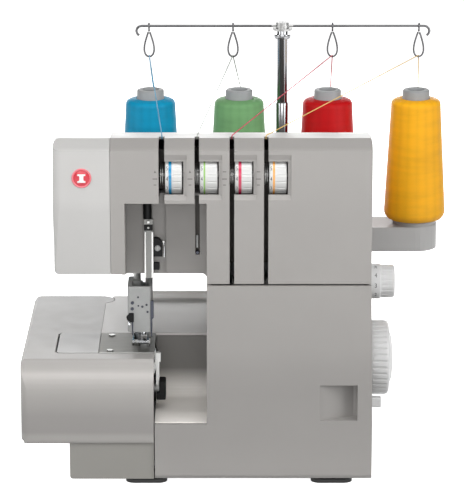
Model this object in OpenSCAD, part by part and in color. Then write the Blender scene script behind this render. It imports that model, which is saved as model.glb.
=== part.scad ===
// Four-thread overlock sewing machine with its thread stand.
// Millimetres. +X is the handwheel side, +Y the rear, +Z up. The origin is the middle of the
// footprint, on the table.

/* [Body] */
// Top of the front wall of the head
head_top = 313.6; // [308:0.1:318]
// Underside of the head
head_bottom = 199; // [199:0.5:203]
// Height of the seam between the upper and the lower front covers
seam_z = 190; // [188:0.5:192]
// Height of the sewing bed
bed_z = 118; // [117:0.5:119]
// Right side of the body
body_right = 125.6; // [125:0.1:126]
// Rear of the body
body_rear = 217; // [215:1:219]
// Wall thickness of the plastic covers
wall = 2.6; // [2.2:0.1:3]

/* [Thread stand] */
// Distance between two cones
cone_pitch = 86.6; // [84:0.1:88]
// Radius of a full cone at its base
cone_r = 30; // [26:0.5:31]
// Radius of a full cone at its top
cone_top_r = 23.5; // [20:0.5:25]
// Top of the thread on a cone
cone_top = 304.3; // [290:0.1:306]
// Height of the guide bar
guide_z = 375.8; // [374:0.1:378]

/* [Drive] */
// Radius of the handwheel
handwheel_r = 35.2; // [30:0.1:36]
// Radius of the needle bar
needle_bar_r = 3.25; // [3:0.05:3.4]
// Radius of the presser bar
presser_bar_r = 3.5; // [3:0.05:3.6]
// Running clearance of a shaft in its bore
fit = 0.05; // [0.03:0.01:0.08]

/* [Hidden] */

// The drawing frame has X = 0 on the needle side of the column and Y = 0 on the front face.
frame_x = 8.75;
frame_y = 148.5;
$fn = 64;
bar_x = -81;
bar_y = 60;
presser_x = -88;
presser_y = 77;
head_left = -160;
head_split = -109;
column_left = -22.7;
chute_left = -71;
// Left side of the cloth plate, its lower edge and the left side of the needle plate
cloth_left = -192.6;
apron_z = 39.8;
plate_left = -122;
base_left = -148.4;
// The front face leans back below this height
face_bend_z = 264;
face_lean = 2;
cover_front = -2;
arm_split_y = 95;
shaft_y = 110;
shaft_z = 88.5;
stand_y = 270;
mast_x = 49;
cone_x = [for (i = [0:3]) -79.7 + i * cone_pitch];
slots = [[-65.6, -60.4], [-33.5, -29.4], [-2.2, 2], [28.6, 32.6]];
dials = [[-59.8, -44.7], [-28.8, -13], [2.6, 18], [33.2, 48.8]];
dial_y = 17;
dial_z = 288.2;
dial_r = 18;
rocker_y = 128;
rocker_z = 281;
rocker_rest = 11.4;
hinge_y = 4;
hinge_z = 10;
lever_y = 203;
lever_z = 213;
swing_x = -127;
swing_y = 204;
ear_r = 12.5;
knife_y = 41;
knife_z = 80;
knife_pivot_y = 104;
knife_pivot_z = 64;
upper_looper_x = -100;
upper_looper_z = 36;
lower_looper_x = -103;
lower_looper_z = 20;

module place() { translate([-frame_x, -frame_y, 0]) children(); }
// A box between two corners
module box(a, b) { translate(a) cube(b - a); }
// Outlines in the front view, the side view and the plan, made solid
module front(y0, y1) { translate([0, y1, 0]) rotate([90, 0, 0]) linear_extrude(y1 - y0) children(); }
module side(x0, x1) { translate([x0, 0, 0]) rotate([90, 0, 90]) linear_extrude(x1 - x0) children(); }
module plan(z0, z1) { translate([0, 0, z0]) linear_extrude(z1 - z0) children(); }
// Round bars along each axis
module rod_x(x0, x1, y, z, r) { translate([x0, y, z]) rotate([0, 90, 0]) cylinder(h = x1 - x0, r = r); }
module rod_y(y0, y1, x, z, r) { translate([x, y1, z]) rotate([90, 0, 0]) cylinder(h = y1 - y0, r = r); }
module rod_z(z0, z1, x, y, r) { translate([x, y, z0]) cylinder(h = z1 - z0, r = r); }

function arc(cx, cy, r, a0, a1, n = 8) =
  r < 0.05 ? [[cx, cy]]
  : [for (i = [0:n]) [cx + r * cos(a0 + (a1 - a0) * i / n), cy + r * sin(a0 + (a1 - a0) * i / n)]];
// Rounded rectangle; radii run bottom-left, bottom-right, top-right, top-left
function rrect(x0, y0, x1, y1, r) = concat(
  arc(x0 + r[0], y0 + r[0], r[0], 180, 270), arc(x1 - r[1], y0 + r[1], r[1], 270, 360),
  arc(x1 - r[2], y1 - r[2], r[2], 0, 90), arc(x0 + r[3], y1 - r[3], r[3], 90, 180));
function bezier(a, b, c, n = 10) =
  [for (i = [0:n]) let (t = i / n) a * (1 - t) * (1 - t) + b * 2 * t * (1 - t) + c * t * t];
// Side outline of the upper body, moved in by d
function body_side(d, low) = concat(
  [[d + face_lean, low], [d, face_bend_z], [d, head_top - 0.6 * d], [12 + 0.4 * d, head_top + 9 - d]],
  bezier([80, 312 - d], [body_rear - d, 287 - d], [body_rear - d, 215], 14),
  [[body_rear - d, low]]);

// A round bar swept along a list of points
function unit(v) = v / norm(v);
function along(p, i) = unit(p[min(i + 1, len(p) - 1)] - p[max(i - 1, 0)]);
module sweep(p, r, sides = 8, flat = [0, 1, 0]) {
  n = len(p);
  ring = [for (i = [0:n - 1])
    let (t = along(p, i), u = unit(cross(t, flat)), v = cross(u, t))
    for (k = [0:sides - 1]) p[i] + r * (cos(k * 360 / sides) * u + sin(k * 360 / sides) * v)];
  walls = [for (i = [0:n - 2]) for (k = [0:sides - 1])
    let (a = i * sides + k, b = i * sides + (k + 1) % sides) each
      [[a, b, a + sides], [b, b + sides, a + sides]]];
  ends = [[for (k = [0:sides - 1]) sides - 1 - k], [for (k = [0:sides - 1]) (n - 1) * sides + k]];
  polyhedron(ring, concat(walls, ends));
}

// ---- fixed covers -------------------------------------------------------------------------

module base_pan() {
  color("dimgray") place() difference() {
    plan(4.2, 8.2) polygon(rrect(-138.4, 22, 124.5, 213.6, [10, 6, 8, 8]));
    for (x = [-60 : 14 : 66]) box([x, 150, 4], [x + 6, 190, 9]);
  }
}

module rubber_feet() {
  color("black") place() for (x = [-78.5, 91.4], y = [15, 188]) difference() {
    plan(0, 4.2) polygon(rrect(x - 19, y - 12, x + 19, y + 12, [8, 8, 8, 8]));
    // the front ones are lower where the looper cover swings past them
    box([x - 20, 2, 3.6], [x + 20, 20, 5]);
  }
}

module main_frame() {
  color("silver") place() difference() {
    union() {
      box([-136, 28, 8.2], [118, 208, 13.5]);
      box([-66, 99, 13], [-56, 200, 106]);
      box([94, 92, 13], [102, 200, 120]);
      box([-10, 176, 13], [90, 190, 244]);
      box([-150, 150, 240], [90, 190, 256]);
      box([-104, 70.5, 206], [-76, 94, 236]);
      box([-104, 70.5, 286], [-76, 94, 300]);
      box([-104, 86, 206], [-76, 94, 300]);
      box([-104, 93, 240], [-98, 160, 258]);
      box([-86, 55, 203.8], [-76.2, 72, 213]);
      box([-86, 54, 300], [-76.2, 84, 307]);
      for (x = [-66, -30]) box([x, 116, 240], [x + 7, 142, 288.5]);
      for (x = [-97, -83.5]) {
        box([x, 160, 205.5], [x + 4, 209.5, 236]);
        box([x, 160, 230], [x + 4, 200, 250]);
      }
      box([-60, 40, 13], [-20, 84, 16]);
      box([-118, 92, 13], [-110, 112, 112]);
      box([-118, 92, 106], [-80, 98, 112]);
      box([-114, 80, 13], [-90, 88, 48]);
      box([98, 140, 20], [102, 190, 80]);
      rod_z(8.2, 20, swing_x, swing_y, 7);
      rod_z(20, 115, swing_x, swing_y, 4);
    }
    rod_x(-70, -50, shaft_y, shaft_z, 9);
    rod_x(90, 106, shaft_y, shaft_z, 9);
    rod_z(200, 310, presser_x, presser_y, presser_bar_r + fit);
    rod_z(200, 310, bar_x, bar_y, needle_bar_r + fit);
    rod_x(-70, -20, rocker_y, rocker_z, 5 + fit);
    rod_x(-100, -76, lever_y, lever_z, 2 + fit);
    rod_x(96, 104, 165, 50, 12);
    // round the motor
    rod_x(20, 97.9, 165, 50, 28);
    rod_x(-120, -108, knife_pivot_y, knife_pivot_z, 4 + fit);
    rod_y(78, 90, lower_looper_x, lower_looper_z, 4 + fit);
    rod_y(78, 90, upper_looper_x, upper_looper_z, 4 + fit);
  }
}

// Front outline of the arm behind the front cover
module arm_outline(d) {
  polygon(concat([[head_split - (d > 0 ? 1 : 0), head_bottom + d], [column_left + d, head_bottom + d],
    [column_left + d, seam_z - (d > 0 ? 1 : 0)], [body_right - d, seam_z - (d > 0 ? 1 : 0)]],
    arc(body_right - 6, 318, 6 - d, 0, 60, 5),
    [[body_right - 12, 330], [head_split - (d > 0 ? 1 : 0), 330]]));
}

module arm_block(d, y0, y1) {
  intersection() {
    front(y0, y1) arm_outline(d);
    side(head_split - 2, 140) polygon(body_side(d, 180));
  }
}

// Front outline of the column below the seam
module column_outline(d) {
  polygon([[column_left + d, 5.2 - d], [128 - d, 5.2 - d], [128 - d, 60], [125.8 - d, seam_z + d * 2],
    [column_left + d, seam_z + d * 2]]);
}

module rear_cover() {
  color([0.69, 0.67, 0.655]) place() difference() {
    union() {
      arm_block(0, arm_split_y + 0.3, body_rear);
      front(13, body_rear) column_outline(0);
    }
    arm_block(wall, 80, body_rear - wall);
    front(10, body_rear - wall) column_outline(wall);
    // opening of the front of the column, above the chute
    box([column_left + wall, 10, 186], [body_right - wall, arm_split_y, 192]);
    box([-30, 0, seam_z - 0.3], [140, arm_split_y + 0.3, 200]);
    // slot of the presser lifter
    box([-92.6, 205, 190], [-83.4, 230, 246]);
    // shaft and dial openings in the right side
    rod_x(120, 135, shaft_y, shaft_z, 8);
    rod_x(120, 135, 105, 164.2, 5);
    box([120, 55, 50], [135, 65, 71]);
    box([120, 166, 58], [135, 186, 72]);
    box([120, 160, 22], [135, 192, 46]);
    // air slots
    for (z = [40 : 9 : 94]) box([10, 205, z], [70, 230, z + 3.4]);
    // opening behind the bed, where the chute and the shafts pass
    box([-24, 92, 14], [-15, 212, 116]);
    box([-24, 12, 0], [-17, body_rear - wall, 57]);
  }
  color([0.69, 0.67, 0.655]) place() box([column_left, 2, 58.8], [column_left + wall, 13.2, seam_z - 1]);
}

// Outline of the end cover in the front view, moved in by d
module face_outline(d) {
  polygon(concat(
    arc(head_left + 4.5, head_bottom + 4.5, 4.5 - d, 180, 270),
    [[head_split - 0.3, head_bottom + d], [head_split - 0.3, 324 - d]],
    arc(head_left + 5.5, 317, 5.5 - d, 90, 170, 6),
    bezier([head_left + d - 0.2, 300], [head_left - 1.4 + d, 260], [head_left + d, 225], 6)));
}

module face_block(d) {
  intersection() {
    front(-2 + d, 300) face_outline(d);
    side(head_left - 4, head_split) polygon(body_side(d, 195));
    plan(190, 330)
      polygon(rrect(head_left - 2 + d, d, head_split + 20, body_rear - d, [9 - d, 1, 1, 12 - d]));
  }
}

module face_cover() {
  color([0.82, 0.82, 0.82]) place() difference() {
    face_block(0);
    face_block(wall);
    box([-147, 44, 195], [-117, 86, 206]);
  }
}

module recess_plan(d) {
  polygon([[-96.3 - d, -3], [-96.3 - d, 52 + d], [-60 + d, 52 + d], [-60 + d, 45 + d],
    [column_left + d, 45 + d], [column_left + d, -3]]);
}

module dial_pocket(a, b) {
  side(a, b) polygon([[-1, 312.4], [1.8, 304.8], [1.8, 272.4], [-1, 266]]);
}

module upper_front_cover() {
  color([0.70, 0.68, 0.665]) place() difference() {
    union() {
      difference() {
        arm_block(0, -1, arm_split_y);
        arm_block(wall, -1, arm_split_y + 1);
      }
      intersection() {
        arm_block(0, -1, arm_split_y);
        plan(head_bottom, 267.6) recess_plan(wall);
      }
      // the walls of the needle recess hang below the head, lower towards the rear
      intersection() {
        plan(180, head_bottom + 1) difference() {
          recess_plan(wall);
          recess_plan(0);
        }
        side(-99, column_left) polygon([[0.5, head_bottom + 1], [0.5, head_bottom], [60, head_bottom - 14.6],
          [60, head_bottom + 1]]);
      }
      // round corner of the sewing gap
      front(45, 45 + wall) difference() {
        translate([column_left - 6, head_bottom - 16.6]) square([6, 6.2]);
        translate([column_left - 6, head_bottom - 16.6]) circle(6);
      }
    }
    plan(195, 265) recess_plan(0);
    box([-81.4, 44, 263], [-73, 51.6, 269]);
    rod_z(195, 206, bar_x, bar_y, 4.6);
    rod_z(195, 206, presser_x, presser_y, 5);
    box([-105, 69.5, 195], [-75, 96, 204.8]);
    for (s = slots) box([s[0], -2, s == slots[0] ? 264 : s == slots[1] ? 264 : 180], [s[1], 31, 335]);
    box([slots[1][0], 40, 206], [slots[1][1], 50, 264]);
    for (i = [0:3]) {
      dial_pocket(slots[i][0], dials[i][1] + 4.2);
      box([slots[i][1] - 0.1, -2, 273], [dials[i][1] + 1.2, 6, 303.4]);
    }
  }
}

module slot_liner() {
  color([0.2, 0.2, 0.2]) place() {
    for (i = [0, 2, 3]) box([slots[i][0] - 3, 39, i == 0 ? 269 : 200], [dials[i][1] + 5, 41, 306]);
    box([slots[1][0] - 3, 49.5, 208], [dials[1][1] + 5, 51, 306]);
  }
}

module base_cover_left() {
  color([0.69, 0.67, 0.655]) place() difference() {
    front(0, body_rear) polygon(concat(arc(base_left + 2.5, 7.7, 2.5, 180, 270, 5),
      [[chute_left - 0.4, 5.2], [chute_left - 0.4, 42.2], [base_left, 42.2]]));
    front(wall, body_rear - wall) polygon([[base_left + wall, 9], [base_left + 6, 3], [-60, 3], [-60, 50],
      [base_left + wall, 50]]);
  }
}

module bed_cover() {
  color([0.70, 0.68, 0.665]) place() {
    difference() {
      box([plate_left - 0.2, 90.6, 43], [column_left - 0.4, body_rear, bed_z]);
      box([-124, 80, 40], [-10, body_rear - wall, bed_z - wall]);
      rod_z(112.2, bed_z + 1, swing_x, swing_y, ear_r + 0.9);
      box([plate_left - 1, swing_y + 8, 112.2], [-116, body_rear + 1, bed_z + 1]);
    }
    difference() {
      box([-142, 9, 43], [plate_left - 0.4, body_rear - 1.5, 112]);
      box([-142 + wall, 0, 40], [-110, body_rear - 1.5 - wall, 112 - wall]);
      rod_z(100, 115, swing_x, swing_y, 4.4);
    }
    // raised lip along the rear of the bed
    side(-84, column_left - 0.4) polygon([[body_rear - 14, bed_z], [body_rear - 7, bed_z + 4.4],
      [body_rear - 3, bed_z + 6], [body_rear - 0.6, bed_z + 5.4], [body_rear, bed_z + 3],
      [body_rear, bed_z]]);
    box([-70.6, body_rear - wall, 5.2], [column_left - 0.4, body_rear, 43]);
  }
}

module waste_chute() {
  floor_z = 60;
  inner = concat([[3.5, floor_z - 1.5], [30, floor_z]], arc(72, floor_z + 18, 18, 270, 360, 8),
    [[90.2, bed_z - 3]]);
  outer = concat([[90.2 + 2.2, bed_z - 3]], arc(72, floor_z + 18, 20.2, 360, 270, 8),
    [[30, floor_z - 2.2], [3.5, floor_z - 3.7]]);
  color([0.6, 0.58, 0.57]) place() {
    side(chute_left + 0.3, column_left - 0.3) polygon(concat(inner, outer));
    difference() {
      side(chute_left + 0.3, chute_left + 2) polygon(concat([[3.5, floor_z - 1.5], [30, floor_z]],
        arc(72, floor_z + 18, 18, 270, 360, 8), [[90.2, 103], [3.5, 103]]));
      box([-75, 2, 57], [-60, 56, 104]);
    }
  }
}

// ---- stitching area -----------------------------------------------------------------------

module needle_plate() {
  color("silver") place() difference() {
    plan(bed_z - 2.2, bed_z) polygon(rrect(plate_left, 25, -71.2, 90, [2, 1, 2, 2]));
    for (x = [-92.2, -87.4, -78]) box([x, 48, 110], [x + 2.4, 78, 120]);
    box([-84.6, 54, 110], [-78.6, 66, 120]);
    for (y = [33, 82]) rod_z(110, 120, -112, y, 2);
  }
}

module lower_knife() {
  color("gray") place() {
    box([-71.1, 33, 100], [-70.1, 43, bed_z - 0.5]);
    box([-77, 33, 96], [-71.1, 43, 106]);
  }
}

module needle_bar_guard() {
  color("gainsboro") place() {
    rod_z(239, 269.5, -77.2, 48, 3.4);
    box([-80.3, 45, 228], [-72.3, 51, 239]);
    box([-80, 46, 183.5], [-71.9, 50, 228]);
  }
}

module work_lamp() {
  color("white") place() {
    box([-146, 45, 199.8], [-118, 85, 205]);
    box([-150, 44, 205], [-114, 86, 212]);
  }
}

module tension_posts() {
  color("silver") place() for (i = [0:3]) {
    rod_x(slots[i][0] - 1, dials[i][1] + 4, dial_y, dial_z, 2.5);
    mid = (slots[i][0] + slots[i][1]) / 2;
    for (s = [-1, 1]) rod_x(mid + s * 0.9 - 0.35, mid + s * 0.9 + 0.35, dial_y, dial_z, 10);
    box([dials[i][1] + 1.6, dial_y - 4, dial_z - 4], [dials[i][1] + 4, 39, dial_z + 4]);
  }
}

// ---- stand --------------------------------------------------------------------------------

module stand_plan(d) {
  polygon(concat(arc(-80, stand_y, 22 - d, 90, 270, 14), arc(180.2, stand_y, 22 - d, 270, 450, 14)));
}

module spool_stand() {
  color([0.55, 0.55, 0.55]) place() difference() {
    union() {
      difference() {
        plan(154.6, 179) stand_plan(0);
        plan(150, 176) stand_plan(wall);
      }
      rod_z(154.6, 176.5, mast_x, stand_y, 9);
      for (x = cone_x) rod_z(166, 176.5, x, stand_y, 5);
      box([18, body_rear + 0.1, 156], [80, 252, 177]);
    }
    box([22, body_rear - 1, 152], [76, 249, 173]);
    rod_z(157, 190, mast_x, stand_y, 6);
    for (x = cone_x) rod_z(168, 190, x, stand_y, 2.5);
  }
}

module cone_holders() {
  color([0.5, 0.5, 0.5]) place() for (x = cone_x) {
    rod_z(168, 308, x, stand_y, 2.5);
    rod_z(179, 183.4, x, stand_y, 21.2);
    rod_z(183, 200, x, stand_y, 8);
  }
}

module ring_profile(x, pts) { translate([x, stand_y, 0]) rotate_extrude() polygon(pts); }

module cone_cores() {
  color([0.7, 0.7, 0.7]) place() for (x = cone_x)
    ring_profile(x, [[18, 183.5], [19.6, 183.5], [13.3, 303], [13.3, 312], [12.3, 313], [8.3, 313],
      [8.3, 305], [11.6, 303]]);
}

module cone_body(i) {
  top = cone_top_r;
  ring_profile(cone_x[i], concat([[19.9, 184.2], [cone_r - 3.5, 184.2], [cone_r - 0.6, 188.5],
    [cone_r, 192]], [[top + 0.9, cone_top - 14]], arc(top - 6, cone_top - 8, 7, 8, 80, 6),
    [[13.8, cone_top], [13.8, cone_top - 2]]));
}

module cone_blue() { color([0, 0.5, 0.68]) place() cone_body(0); }
module cone_green() { color([0.42, 0.64, 0.44]) place() cone_body(1); }
module cone_red() { color([0.75, 0.08, 0.15]) place() cone_body(2); }
module cone_yellow() { color([0.96, 0.68, 0.14]) place() cone_body(3); }

eyelets = [-80.7, 1, 97.8, 181.8];
// Radius at which a thread's middle goes round the eyelet's wire
lead_r = 1.4;
entry = [-63, -31.4, -0.1, 30.6];
// Each thread leaves its cone, turns in its eyelet and drops into its slot
module threads() {
  color("lightgray") place() for (i = [0:3]) {
    a = [cone_x[i] + 3, stand_y + 17.6, 304.8];
    // over the lower bend of the eyelet
    bend = [for (t = [22.5, 50, 75, 96]) [eyelets[i], stand_y + lead_r * cos(t), 345.5 + lead_r * sin(t)]];
    c = [entry[i], 29.4, 321];
    d = [entry[i], 30.4, 317.5];
    sweep(concat([a, (a + bend[0]) / 2], bend, [(bend[3] + c) / 2, c, d]), 0.4, 8, [1, 0.2, 0]);
  }
}

module mast_lower_tube() {
  color("silver") place() difference() {
    rod_z(157, 300, mast_x, stand_y, 6);
    rod_z(158, 301, mast_x, stand_y, 5.35);
  }
}

module mast_upper_tube() {
  color("silver") place() {
    rod_z(190, 372, mast_x, stand_y, 5.3);
    rod_z(364, 368, mast_x, stand_y, 8);
    rod_z(371.9, 377, mast_x, stand_y, 2);
  }
}

module guide_bar() {
  color("silver") place() {
    difference() {
      union() {
        rod_z(372.2, 374, mast_x, stand_y, 9.5);
        rod_z(374, 379.6, mast_x, stand_y, 6.4);
      }
      rod_z(370, 377.4, mast_x, stand_y, 2 + fit);
    }
    for (s = [[-1, -94], [1, 193]])
      sweep(concat([[mast_x + s[0] * 5, stand_y, guide_z], [s[1] - s[0] * 6, stand_y, guide_z]],
        [for (a = [60 : -30 : -60]) [s[1] - s[0] * (6 - 5 * cos(a)), stand_y, guide_z - 5 + 5 * sin(a)]]),
        1.2, 8);
  }
}

// Teardrop loop of wire that hangs from the guide bar
module eyelet(x) {
  turns = 26;
  sweep([for (k = [0:turns]) let (t = 20 + k * 320 / turns)
    [x + 6.8 * sin(t) * (0.62 - 0.38 * cos(t)), stand_y + 1.2 * (k / turns - 0.5), 358 + 12.5 * cos(t)]],
    0.9, 8);
}

module thread_eyelets() {
  color("silver") place() for (x = eyelets) {
    eyelet(x);
    translate([x, stand_y, guide_z]) rotate([0, 90, 0])
      rotate_extrude() translate([2.4, 0]) circle(0.9, $fn = 16);
    rod_z(370.4, 373, x, stand_y, 0.9);
  }
}

// ---- drive --------------------------------------------------------------------------------

module shaft_bushes() {
  color("goldenrod") place() for (x = [-66, 94]) difference() {
    rod_x(x, x + (x > 0 ? 8 : 10), shaft_y, shaft_z, 9);
    rod_x(x - 1, x + 12, shaft_y, shaft_z, 6 + fit);
  }
}

module main_shaft() {
  color("gainsboro") place() {
    rod_x(-72, 131, shaft_y, shaft_z, 6);
    // eccentrics of the loopers and the knife
    for (e = [[-54, 3, 0], [-40, 0, 3], [-28, -3, 0]])
      rod_x(e[0], e[0] + 6, shaft_y + e[1], shaft_z + e[2], 13);
    // timing pulley with its flanges
    rod_x(105, 115, shaft_y, shaft_z, 24);
    rod_x(103.8, 105, shaft_y, shaft_z, 26.5);
    rod_x(115, 116.2, shaft_y, shaft_z, 26.5);
  }
}

module handwheel() {
  r = handwheel_r;
  color([0.86, 0.86, 0.86]) place() translate([0, shaft_y, shaft_z]) rotate([0, 90, 0]) difference() {
    rotate_extrude($fn = 96) polygon([[6, 131], [6, 133], [26, 133], [26, 130], [r - 2.5, 129.6],
      [r - 0.6, 131], [r, 133], [r, 144], [r - 0.9, 146.4], [r - 3, 147.6], [r - 9, 148],
      [20, 150.4], [10, 151.4], [0, 151.6], [0, 131]]);
    for (k = [0 : 10 : 350]) rotate(k) translate([r + 1.2, 0, 128]) cylinder(h = 17, r = 1.8, $fn = 16);
  }
}

module motor() {
  color([0.3, 0.3, 0.3]) place() {
    rod_x(30, 97.8, 165, 50, 27);
    rod_x(24, 30, 165, 50, 10);
    rod_x(97.8, 103.4, 165, 50, 11.9);
    box([36, 152, 13.6], [90, 175.8, 30]);
  }
}

module motor_pulley() {
  color("silver") place() {
    rod_x(104, 116.4, 165, 50, 8);
    rod_x(103.8, 105, 165, 50, 10);
    rod_x(115, 116.2, 165, 50, 10);
  }
}

// Belt outline: the common outer tangents of two circles, grown by d
module belt_loop(d) {
  hull() {
    translate([shaft_y, shaft_z]) circle(24 + d, $fn = 48);
    translate([165, 50]) circle(8 + d, $fn = 32);
  }
}

module drive_belt() {
  color([0.15, 0.15, 0.15]) place() side(105.8, 114.2) difference() {
    belt_loop(1.9);
    belt_loop(0.35);
  }
}

module needle_rocker() {
  reach = rocker_y - bar_y;
  color("gainsboro") place() {
    rod_x(-70, -22, rocker_y, rocker_z, 5);
    translate([0, rocker_y, rocker_z]) rotate([-rocker_rest, 0, 0]) difference() {
      union() {
        rod_x(-72, -68.5, 0, 0, 9);
        side(-72, -68.5) polygon([[0, -8.5], [-reach - 5.8, -4.6], [-reach - 5.8, 4.6], [0, 8.5]]);
      }
      box([-80, -reach - 8, -2.35], [-60, -reach + 6, 2.35]);
    }
    rod_x(-57, -52, rocker_y, rocker_z, 8);
  }
}

module needle_bar() {
  pin_z = rocker_z + (rocker_y - bar_y) * tan(rocker_rest);
  color("gainsboro") place() {
    rod_z(170, 310.6, bar_x, bar_y, needle_bar_r);
    box([bar_x - 4.4, bar_y - 4.5, pin_z - 4], [bar_x + 4.4, bar_y + 4.5, pin_z + 4]);
    rod_x(bar_x, -67.4, bar_y, pin_z, 2);
  }
}

module needle_clamp() {
  color("silver") place() {
    plan(157, 169.9) polygon(rrect(bar_x - 5.2, bar_y - 5, bar_x + 3.6, bar_y + 4.2, [1, 1, 1, 1]));
    rod_y(bar_y - 7.6, bar_y - 5, bar_x - 2.6, 163, 1.6);
    rod_y(bar_y - 7.6, bar_y - 5, bar_x + 1.4, 161, 1.6);
    for (s = [[-2.4, 0], [1.4, 2.4]]) {
      rod_z(140, 157, bar_x + s[0], bar_y, 0.9);
      translate([bar_x + s[0], bar_y, 124.5 + s[1]]) cylinder(h = 4.5, r1 = 0.15, r2 = 0.5, $fn = 16);
      rod_z(129 + s[1], 140, bar_x + s[0], bar_y, 0.5);
    }
  }
}

module presser_bar() {
  color("gainsboro") place() {
    rod_z(168, 303, presser_x, presser_y, presser_bar_r);
    rod_z(237.5, 243, presser_x, presser_y, 6.4);
  }
}

// Bracket on the presser bar: a guard around the needle clamp, and the ankle of the foot
module presser_bracket() {
  color("silver") place() difference() {
    union() {
      difference() {
        plan(131, 174.5) polygon(rrect(-96, 48.6, -73.6, 84.5, [2.5, 2.5, 3, 3]));
        plan(129, 180) polygon(rrect(-92, 50.6, -75.4, 69, [1.5, 1.5, 1, 1]));
        box([-100, 66, 120], [-70, 90, 140]);
      }
      box([-87.6, 69.5, 125.4], [-82.6, 79, 141]);
    }
    rod_z(167.9, 180, presser_x, presser_y, presser_bar_r);
    rod_x(-100, -70, 74, 129.4, 1.5 + fit);
  }
}

module presser_spring() {
  coils = 7;
  steps = 11;
  color("gray") place() sweep([for (k = [0 : coils * steps]) let (a = k * 360 / steps)
    [presser_x + 5.3 * cos(a), presser_y + 5.3 * sin(a), 244.3 + 40 * k / (coils * steps)]],
    0.8, 8, [0, 0, 1]);
}

module presser_foot() {
  color("gainsboro") place() {
    difference() {
      side(-92, -76.6) polygon([[40, 123.4], [42, 122.2], [47, 121.2], [94, 121.2], [97, 122.6],
        [97, 124.4], [92, 123.4], [48, 123.4], [41, 125]]);
      box([-84.6, 54, 115], [-78.6, 66, 130]);
      box([-89.4, 36, 115], [-87.6, 50, 130]);
    }
    for (x = [-91, -82]) side(x, x + 2.8)
      polygon(concat([[68, 123.2], [80, 123.2]], arc(74, 129.4, 4.2, 0, 180, 8)));
    rod_x(-91.2, -79, 74, 129.4, 1.5);
  }
}

module presser_lever() {
  color([0.25, 0.25, 0.25]) place() {
    rod_x(-96.9, -79.6, lever_y, lever_z, 2);
    translate([0, lever_y, lever_z]) rotate([-8, 0, 0]) {
      rod_x(-91.6, -84.4, 0, 0, 5.6);
      side(-91.6, -84.4) polygon([[0, -3.4], [32, -2.4], [32, 2.4], [0, 5.2]]);
      plan(-2.4, 2.4) polygon(rrect(-112, 24, -84.4, 33, [3, 3, 3, 3]));
    }
  }
}

// ---- cutting and looping ------------------------------------------------------------------

module knife_arm() {
  color("silver") place() difference() {
    union() {
      rod_x(-76, -72, knife_pivot_y, knife_pivot_z, 8);
      side(-76, -72) polygon([[knife_pivot_y, knife_pivot_z - 7], [knife_y, knife_z - 6],
        [knife_y, knife_z + 6], [knife_pivot_y, knife_pivot_z + 7]]);
      rod_x(-76, -72, knife_y, knife_z, 7);
      rod_x(-117, -72, knife_pivot_y, knife_pivot_z, 4);
    }
    rod_x(-90, -70, knife_y, knife_z, 3.5 + fit);
  }
}

module upper_knife() {
  color([0.2, 0.2, 0.2]) place() {
    rod_x(-76, -66.9, knife_y, knife_z, 3.5);
    side(-66.9, -61.8) polygon(rrect(knife_y - 8, knife_z - 9, knife_y + 6, knife_z + 8, [3, 3, 3, 3]));
    box([-69.9, knife_y - 5, knife_z + 4], [-67, knife_y + 4, 114]);
    box([-69.9, knife_y - 5, 106], [-65.6, knife_y - 2, 114.5]);
    rod_x(-69.9, -66.9, knife_y, knife_z, 6);
  }
}

// A looper: a hub, an arm and a curved blade that ends in a point
module looper(x, z, y, reach) {
  front(y, y + 3.5) union() {
    polygon([[x - 6, z], [x + 6, z], [x + 3, z + reach - 3], [x - 6, z + reach - 3]]);
    polygon(concat(arc(x, z, reach, 94, 72, 8), arc(x, z, reach - 5.5, 76, 94, 6)));
  }
  rod_y(y - 2, y + 5.5, x, z, 6);
  rod_y(y - 8, 90, x, z, 4);
}
module upper_looper() { color("gainsboro") place() looper(upper_looper_x, upper_looper_z, 61.4, 65); }
module lower_looper() { color("gainsboro") place() looper(lower_looper_x, lower_looper_z, 44, 72); }

module feed_dogs() {
  color("gray") place() {
    for (x = [-91.8, -87, -77.6]) {
      box([x, 55, 110.4], [x + 1.6, 71, 118.2]);
      for (y = [55 : 2 : 69]) side(x, x + 1.6) polygon([[y, 118.1], [y + 0.4, 119], [y + 1.8, 118.1]]);
      box([x, 64, 107.5], [x + 1.6, 71, 110.6]);
    }
    box([-91.8, 64, 107.5], [-76, 71, 110.5]);
    box([-91.8, 70.5, 104], [-88, 88, 110.5]);
  }
}

// ---- controls -----------------------------------------------------------------------------

module tension_dial(i) {
  a = dials[i][0];
  b = dials[i][1];
  color("whitesmoke") place() translate([0, dial_y, dial_z]) rotate([0, 90, 0]) difference() {
    rotate_extrude($fn = 72) polygon([[2.5 + fit, a], [dial_r - 0.8, a], [dial_r, a + 0.8],
      [dial_r, b - 0.8], [dial_r - 0.8, b], [2.5 + fit, b]]);
    for (k = [0 : 20 : 340])
      rotate(k) translate([dial_r + 0.7, 0, a + 7]) cylinder(h = 20, r = 1.1, $fn = 16);
  }
}
module tension_dial_1() { tension_dial(0); }
module tension_dial_2() { tension_dial(1); }
module tension_dial_3() { tension_dial(2); }
module tension_dial_4() { tension_dial(3); }

module stitch_length_dial() {
  color([0.86, 0.86, 0.86]) place() translate([0, 105, 164.2]) rotate([0, 90, 0]) {
    cylinder(h = 128, r = 4.4);
    difference() {
      rotate_extrude($fn = 72) polygon([[0, 127.4], [16, 127.4], [16.5, 128], [16.5, 138], [15.6, 139],
        [15.2, 150.6], [14, 152], [0, 152.6]]);
      for (k = [0 : 18 : 342]) rotate(k) translate([16.6, 0, 139.4]) cylinder(h = 20, r = 1.6, $fn = 16);
    }
  }
}

module feed_ratio_lever() {
  color([0.86, 0.86, 0.86]) place() {
    box([118, 57.5, 58], [129.4, 62.5, 62.6]);
    side(128.9, 138.6) polygon(rrect(55.6, 55.6, 64.4, 65, [1.5, 1.5, 1.5, 1.5]));
    box([116, 52, 50], [119, 68, 71]);
  }
}

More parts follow.
